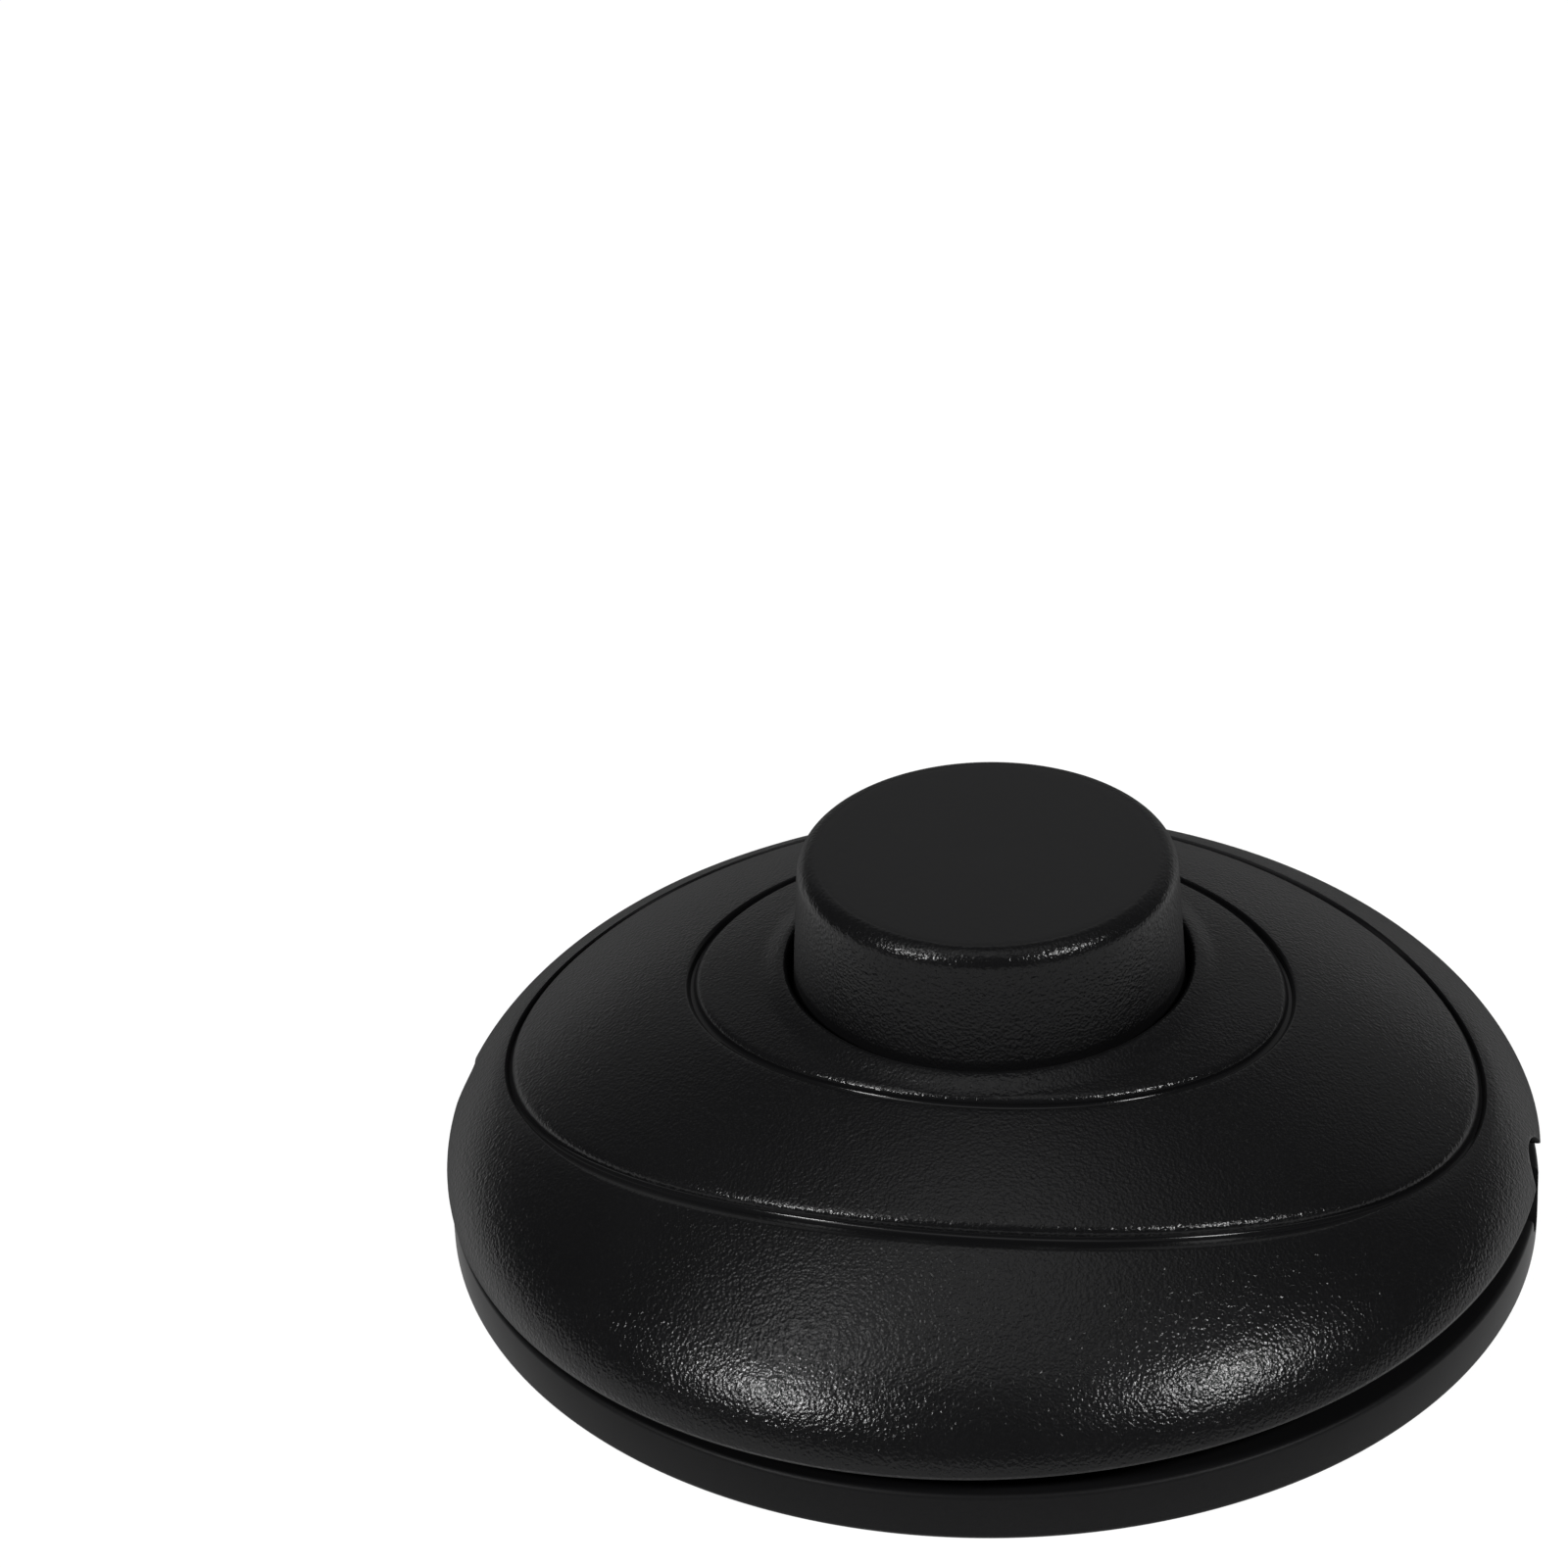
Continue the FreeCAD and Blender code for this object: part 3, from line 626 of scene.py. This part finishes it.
curve = bpy.data.curves.new("return_coil", "CURVE")
curve.dimensions = "3D"
curve.bevel_depth = wire_radius
curve.bevel_resolution = 3
curve.use_fill_caps = True
spline = curve.splines.new("POLY")
spline.points.add(spring_turns * steps_per_turn)
end_rise = 2 * wire_radius * 0.95
for index, point in enumerate(spline.points):
    turn = index / steps_per_turn
    climb = spring_high.z - spring_low.z - 2 * wire_radius - 2 * end_rise
    height = spring_low.z + wire_radius + end_rise * min(1.0, turn) + climb * coil_share(turn)
    height += end_rise * min(1.0, max(0.0, turn - spring_turns + 1))
    angle = 2 * math.pi * turn
    point.co = (coil_radius * math.cos(angle), coil_radius * math.sin(angle), height, 1)
coil = bpy.data.objects.new("return_coil", curve)
bpy.context.scene.collection.objects.link(coil)
only(coil)
bpy.ops.object.convert(target="MESH")
spring = bpy.context.object
print("spring of", spring_turns, "turns,", len(spring.data.polygons), "faces")

# %% [markdown]
# ## Smooth shading and bodies
# Faces that meet at a small angle are shaded as one surface, and real edges stay crisp. Each piece then takes
# the place of its CAD node and rides on that node's body.

# %% Shade and attach
smooth_limit = math.radians(60)
for piece, node, body, slot in ((cover, "housing_cover", "housing", "cover_plastic"),
                                (button, "push_button", "button", "button_plastic"),
                                (base, "base_plate", "housing", "base_plastic"),
                                (spring, "return_spring", "housing", "spring_steel")):
    only(piece)
    bpy.ops.object.shade_smooth_by_angle(angle=smooth_limit)
    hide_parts(node)
    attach(piece, body)
    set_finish(piece, slot)
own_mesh(spring)

# %% [markdown]
# ## Finishes
# Everything that shows is black plastic, and the difference lies in its skin. The cover and the button were
# moulded in a spark-eroded tool, which leaves shiny bumps a fifth of a millimetre wide. The base is smoother
# and duller. The textures read Object coordinates in metres, so a scale of 5000 means cells of a fifth of a
# millimetre, and the grain number on the points blends the bumps out in the grooves. At a low glance the bumps
# stand in each other's way and the skin looks duller, which Layer Weight gives.

# %% Finish tools
def new_finish(name):
    finish = bpy.data.materials.new(name)
    finish.use_nodes = True
    return finish, finish.node_tree, finish.node_tree.nodes["Principled BSDF"]


def add(tree, kind, **settings):
    node = tree.nodes.new("ShaderNode" + kind)
    for key, value in settings.items():
        if key in node.inputs:
            node.inputs[key].default_value = value
        else:
            setattr(node, key, value)
    return node


def place_of(tree):
    return add(tree, "TexCoord").outputs["Object"]


def noise(tree, place, scale, detail=2.0, rough=0.5, distortion=0.0):
    node = add(tree, "TexNoise", Scale=scale, Detail=detail, Roughness=rough, Distortion=distortion)
    tree.links.new(place, node.inputs["Vector"])
    return node.outputs["Fac"]


def cells(tree, place, scale, smoothness=0.6):
    node = add(tree, "TexVoronoi", feature="SMOOTH_F1", Scale=scale, Smoothness=smoothness)
    tree.links.new(place, node.inputs["Vector"])
    return node.outputs["Distance"]


def sums(tree, operation, first, second):
    node = add(tree, "Math", operation=operation)
    for socket, value in zip(node.inputs, (first, second)):
        if isinstance(value, (int, float)):
            socket.default_value = value
        else:
            tree.links.new(value, socket)
    return node.outputs[0]


def between(tree, share, low, high, start=0.0, end=1.0, ease="LINEAR"):
    """Number that goes from low to high as the share goes from start to end."""
    node = add(tree, "MapRange", interpolation_type=ease)
    for name, value in (("From Min", start), ("From Max", end), ("To Min", low), ("To Max", high)):
        node.inputs[name].default_value = value
    tree.links.new(share, node.inputs["Value"])
    return node.outputs["Result"]


def blend(tree, share, low, high):
    """Colour that goes from low to high as the share goes from 0 to 1."""
    node = add(tree, "Mix", data_type="RGBA")
    node.inputs[6].default_value = (*low, 1)
    node.inputs[7].default_value = (*high, 1)
    tree.links.new(share, node.inputs[0])
    return node.outputs[2]


def bump(tree, shader, height, distance, strength=1.0):
    node = add(tree, "Bump", Strength=strength, Distance=distance)
    tree.links.new(height, node.inputs["Height"])
    tree.links.new(node.outputs["Normal"], shader.inputs["Normal"])


print("finish tools ready")

# %% Grained black plastic
black_low = (0.003, 0.003, 0.0032)
black_high = (0.005, 0.005, 0.0053)
pit_share = 0.6
flow_scale = 90.0
glance_start = 0.4
glance_gain = 1.1


def grained_plastic(name, cell_scale, depth, polish, shine):
    """Black moulded plastic whose bumps follow the points' grain number."""
    finish, tree, shader = new_finish(name)
    place = place_of(tree)
    grain = add(tree, "Attribute", attribute_name="grain").outputs["Fac"]
    wrinkle = noise(tree, place, cell_scale * 0.75, detail=2.0, rough=0.55, distortion=0.5)
    pits = cells(tree, place, cell_scale)
    height = sums(tree, "ADD", wrinkle, sums(tree, "MULTIPLY", pits, pit_share))
    bump(tree, shader, sums(tree, "MULTIPLY", height, grain), depth)
    flow = noise(tree, place, flow_scale, detail=3.0)
    tree.links.new(blend(tree, flow, black_low, black_high), shader.inputs["Base Color"])
    gloss = sums(tree, "ADD", between(tree, grain, polish, polish + 0.06), between(tree, flow, -0.03, 0.03))
    glance = add(tree, "LayerWeight", Blend=0.5).outputs["Facing"]
    past_start = sums(tree, "MAXIMUM", sums(tree, "SUBTRACT", glance, glance_start), 0.0)
    low_glance = sums(tree, "MULTIPLY", past_start, glance_gain)
    tree.links.new(sums(tree, "ADD", gloss, low_glance), shader.inputs["Roughness"])
    shader.inputs["Specular IOR Level"].default_value = shine
    return finish


cover_finish = grained_plastic("cover_plastic", cell_scale=5200.0, depth=0.038 * MM, polish=0.12, shine=0.16)
button_finish = grained_plastic("button_plastic", cell_scale=5200.0, depth=0.036 * MM, polish=0.12, shine=0.14)
print("grained finishes", cover_finish.name, button_finish.name)

# %% Smooth black plastic of the base
base_finish, tree, shader = new_finish("base_plastic")
place = place_of(tree)
fine = noise(tree, place, 9000.0, detail=1.0)
bump(tree, shader, fine, 0.006 * MM)
flow = noise(tree, place, 70.0, detail=4.0)
tree.links.new(blend(tree, flow, black_low, black_high), shader.inputs["Base Color"])
tree.links.new(between(tree, flow, 0.42, 0.52), shader.inputs["Roughness"])
shader.inputs["Specular IOR Level"].default_value = 0.08
print("base finish", base_finish.name)

# %% [markdown]
# ## Finishes of the parts inside
# The mechanism has the finishes that such parts have: milky nylon for the ratchet, brown phenolic for the cage
# and the cord grips, stamped brass, contact silver, zinc-plated screws and drawn spring wire. Each has a little
# mottling or a fine line pattern, so that no surface is one flat colour.

# %% Plastics inside
def inner_plastic(name, low, high, mottle, rough, relief):
    finish, tree, shader = new_finish(name)
    place = place_of(tree)
    share = noise(tree, place, mottle, detail=4.0, rough=0.6)
    tree.links.new(blend(tree, share, low, high), shader.inputs["Base Color"])
    tree.links.new(between(tree, share, rough - 0.06, rough + 0.06), shader.inputs["Roughness"])
    bump(tree, shader, noise(tree, place, 5000.0), relief)
    return finish


nylon = inner_plastic("nylon", (0.7, 0.67, 0.58), (0.8, 0.78, 0.7), 300.0, 0.38, 0.004 * MM)
phenolic = inner_plastic("phenolic", (0.07, 0.035, 0.02), (0.13, 0.075, 0.045), 900.0, 0.45, 0.008 * MM)
print("plastics inside", nylon.name, phenolic.name)

# %% Metals inside
def metal(name, low, high, rough, stretch):
    """Metal with stains, and fine lines along the axis that the stretch leaves long."""
    finish, tree, shader = new_finish(name)
    place = place_of(tree)
    stain = noise(tree, place, 220.0, detail=5.0, rough=0.6)
    mapping = add(tree, "Mapping")
    mapping.inputs["Scale"].default_value = stretch
    tree.links.new(place, mapping.inputs["Vector"])
    lines = noise(tree, mapping.outputs["Vector"], 3000.0, detail=2.0)
    tree.links.new(blend(tree, stain, low, high), shader.inputs["Base Color"])
    tree.links.new(between(tree, lines, rough - 0.08, rough + 0.08), shader.inputs["Roughness"])
    bump(tree, shader, lines, 0.003 * MM)
    shader.inputs["Metallic"].default_value = 1.0
    return finish


brass = metal("brass", (0.62, 0.44, 0.17), (0.8, 0.62, 0.3), 0.3, (0.08, 1, 1))
silver = metal("silver", (0.78, 0.77, 0.74), (0.9, 0.89, 0.87), 0.25, (1, 1, 1))
zinc = metal("zinc_steel", (0.6, 0.6, 0.57), (0.74, 0.74, 0.74), 0.32, (1, 1, 0.3))
wire = metal("spring_steel", (0.4, 0.4, 0.41), (0.56, 0.56, 0.57), 0.3, (1, 1, 0.2))
print("metals inside", [finish.name for finish in (brass, silver, zinc, wire)])

# %% Give every piece and node its finish
finishes = {"cover_plastic": cover_finish, "button_plastic": button_finish, "base_plastic": base_finish,
            "nylon": nylon, "phenolic": phenolic, "brass": brass, "silver": silver,
            "zinc_steel": zinc, "spring_steel": wire}
for piece in (cover, button, base, spring):
    piece.data.materials.clear()
    piece.data.materials.append(finishes[piece["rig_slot"]])
for part in frame["record"]["subparts"]:
    node = frame["nodes"][part["node"]]
    for slot in node.material_slots:
        slot.material = finishes[part["material_slot"]]

# %% [markdown]
# ## Floor and light
# The switch stands on a white sweep: a floor that curls up behind it. The sweep shows as white to the camera
# and in reflections, and still takes a little of the switch's shadow. That white is a painted pool of light: an
# emission that is strong near the switch and fades further off, so the sweep dims away from it. A plane whose
# rear edge is extruded along an arc makes it.

# %% White sweep
floor_half = 2.4
bpy.ops.object.select_all(action="DESELECT")
bpy.ops.mesh.primitive_plane_add(size=2 * floor_half)
floor = bpy.context.object
floor.name = "floor_sweep"
bpy.ops.object.mode_set(mode="EDIT")
bpy.ops.mesh.select_mode(type="EDGE")
bpy.ops.mesh.select_all(action="DESELECT")
mesh = bmesh.from_edit_mesh(floor.data)
for edge in mesh.edges:
    edge.select_set(all(point.co.y > floor_half - 0.001 for point in edge.verts))
bmesh.update_edit_mesh(floor.data)
curl_radius = 0.5
curl_steps = 8
for step in range(curl_steps):
    before, after = (math.radians(90 * count / curl_steps) for count in (step, step + 1))
    forward = curl_radius * (math.sin(after) - math.sin(before))
    rise = curl_radius * (math.cos(before) - math.cos(after))
    bpy.ops.mesh.extrude_region_move(TRANSFORM_OT_translate={"value": (0, forward, rise)})
bpy.ops.object.mode_set(mode="OBJECT")
bpy.ops.object.shade_smooth()
print("sweep", 2 * floor_half, "m wide")

# %% Finish of the sweep
painted_pool_near, painted_pool_far = 0.3, 0.75
share_near, share_far = 0.9, 0.1
sweep, tree, shader = new_finish("sweep_white")
shader.inputs["Base Color"].default_value = (0.86, 0.86, 0.86, 1)
shader.inputs["Roughness"].default_value = 0.9
shader.inputs["Specular IOR Level"].default_value = 0.0
ray = add(tree, "LightPath")
seen = sums(tree, "MAXIMUM", ray.outputs["Is Camera Ray"], ray.outputs["Is Glossy Ray"])
seen = sums(tree, "MAXIMUM", seen, ray.outputs["Is Transmission Ray"])
glow = add(tree, "Emission", Color=(1, 1, 1, 1), Strength=1.05)
mix = add(tree, "MixShader")
distance = add(tree, "VectorMath", operation="LENGTH")
tree.links.new(place_of(tree), distance.inputs[0])
# Painted pool of light: the emission's share falls with distance, white round the switch and dim further off.
painted_light_pool = between(tree, distance.outputs["Value"], share_near, share_far, painted_pool_near, painted_pool_far, "SMOOTHSTEP")
tree.links.new(sums(tree, "MULTIPLY", seen, painted_light_pool), mix.inputs[0])
tree.links.new(shader.outputs[0], mix.inputs[1])
tree.links.new(glow.outputs[0], mix.inputs[2])
tree.links.new(mix.outputs[0], tree.nodes["Material Output"].inputs["Surface"])
floor.data.materials.append(sweep)
print("sweep dims from", painted_pool_near, "to", painted_pool_far, "m away")

# %% [markdown]
# ## Sky
# The sky stands for the dim room. A bright screen behind and a bright patch overhead light the edges of the
# dome, the top of the button and the middle of the front. A picture of a room could do this too, but colour
# ramps on the height of the direction need only a few numbers.

# %% Sky
world = bpy.data.worlds.new("studio")
bpy.context.scene.world = world
world.use_nodes = True
tree = world.node_tree
sky = tree.nodes["Background"]
direction = add(tree, "SeparateXYZ")
tree.links.new(add(tree, "TexCoord").outputs["Generated"], direction.inputs[0])


def levels(stops):
    """Brightness that follows the height of a direction, from pairs of height and level."""
    ramp = add(tree, "ValToRGB")
    for index, (place, level) in enumerate(stops):
        stop = ramp.color_ramp.elements[index] if index < 2 else ramp.color_ramp.elements.new(place)
        stop.position = place
        stop.color = (level, level, level, 1)
    tree.links.new(direction.outputs["Z"], ramp.inputs[0])
    return ramp.outputs[0]


around = levels(((0.0, 0.15), (0.12, 0.12), (0.26, 0.05), (0.84, 0.06), (0.94, 0.5), (1.0, 0.8)))
screen = levels(((0.0, 0.14), (0.15, 0.18), (0.3, 0.3), (0.5, 0.48), (0.62, 0.38), (0.74, 0.08), (0.84, 0.0)))
screen_start, screen_full = 0.4, 0.9
rear = between(tree, direction.outputs["Y"], 0.0, 1.0, screen_start, screen_full)
behind = sums(tree, "MULTIPLY", screen, rear)
tree.links.new(sums(tree, "ADD", around, behind), sky.inputs["Color"])
print("sky brighter behind and overhead")

# %% [markdown]
# ## Soft boxes
# Two small soft boxes at the front left and front right make the two patches of sparkle on the rim. A dim one
# above the left box softens that side, and a wide one overhead fills the top. One large box would be simpler,
# but it would blur the sparkle.

# %% Soft boxes
def soft_box(name, azimuth, elevation, distance, size, power):
    """Square area light that faces the switch; azimuth 0 is the front, positive to the right."""
    side, rise = math.radians(azimuth), math.radians(elevation)
    towards = Vector((math.sin(side) * math.cos(rise), -math.cos(side) * math.cos(rise), math.sin(rise)))
    lamp = bpy.data.lights.new(name, "AREA")
    lamp.shape = "SQUARE"
    lamp.size = size
    lamp.energy = power
    box = bpy.data.objects.new(name, lamp)
    box.location = towards * distance
    box.rotation_euler = towards.to_track_quat("Z", "Y").to_euler()
    bpy.context.scene.collection.objects.link(box)
    return box


soft_box("box_left", azimuth=-40, elevation=37, distance=0.6, size=0.1, power=2.6)
soft_box("box_right", azimuth=60, elevation=42, distance=0.6, size=0.1, power=2.5)
soft_box("box_fill", azimuth=-50, elevation=60, distance=0.6, size=0.14, power=0.5)
soft_box("box_over", azimuth=0, elevation=84, distance=0.8, size=0.4, power=0.3)
print("four soft boxes")

# %% [markdown]
# ## Camera
# The picture was taken with a long lens from the front, a little to the right and well above. The azimuth,
# elevation, roll and distance were fitted to the outlines in the photograph. The switch stands right of the
# middle and low in the frame, so the camera looks past it at a point up and to the left.

# %% Set up the camera
sensor_width = 36.0
photo_size = 1600
photo_focal = 5027.0
photo_spot = (1010.9, 1104.1)
aim = Vector((0, 0, 8.5 * MM))
camera_azimuth = math.radians(9.0)
camera_elevation = math.radians(34.42)
camera_roll = math.radians(0.82)
camera_distance = 306 * MM

back = Vector((math.sin(camera_azimuth) * math.cos(camera_elevation),
               -math.cos(camera_azimuth) * math.cos(camera_elevation), math.sin(camera_elevation)))
level = Vector((math.cos(camera_azimuth), math.sin(camera_azimuth), 0))
upright = back.cross(level)
right = level * math.cos(camera_roll) - upright * math.sin(camera_roll)
up = upright * math.cos(camera_roll) + level * math.sin(camera_roll)
eye = aim + back * camera_distance
per_pixel = camera_distance / photo_focal
look_at = aim - right * (photo_spot[0] - photo_size / 2) * per_pixel
look_at += up * (photo_spot[1] - photo_size / 2) * per_pixel
depth = (eye - look_at).normalized()
across = up.cross(depth).normalized()
over = depth.cross(across)

camera = bpy.data.objects.new("camera", bpy.data.cameras.new("camera"))
camera.data.sensor_width = sensor_width
camera.data.lens = sensor_width * photo_focal / photo_size
camera.data.clip_start = 0.01
camera.data.clip_end = 20.0
turn = Matrix((across, over, depth)).transposed()
camera.matrix_world = Matrix.Translation(eye) @ turn.to_4x4()
bpy.context.scene.collection.objects.link(camera)
bpy.context.scene.camera = camera
bpy.context.scene.view_settings.view_transform = "Standard"
print("lens", round(camera.data.lens, 1), "mm, camera", round(camera_distance, 3), "m away")
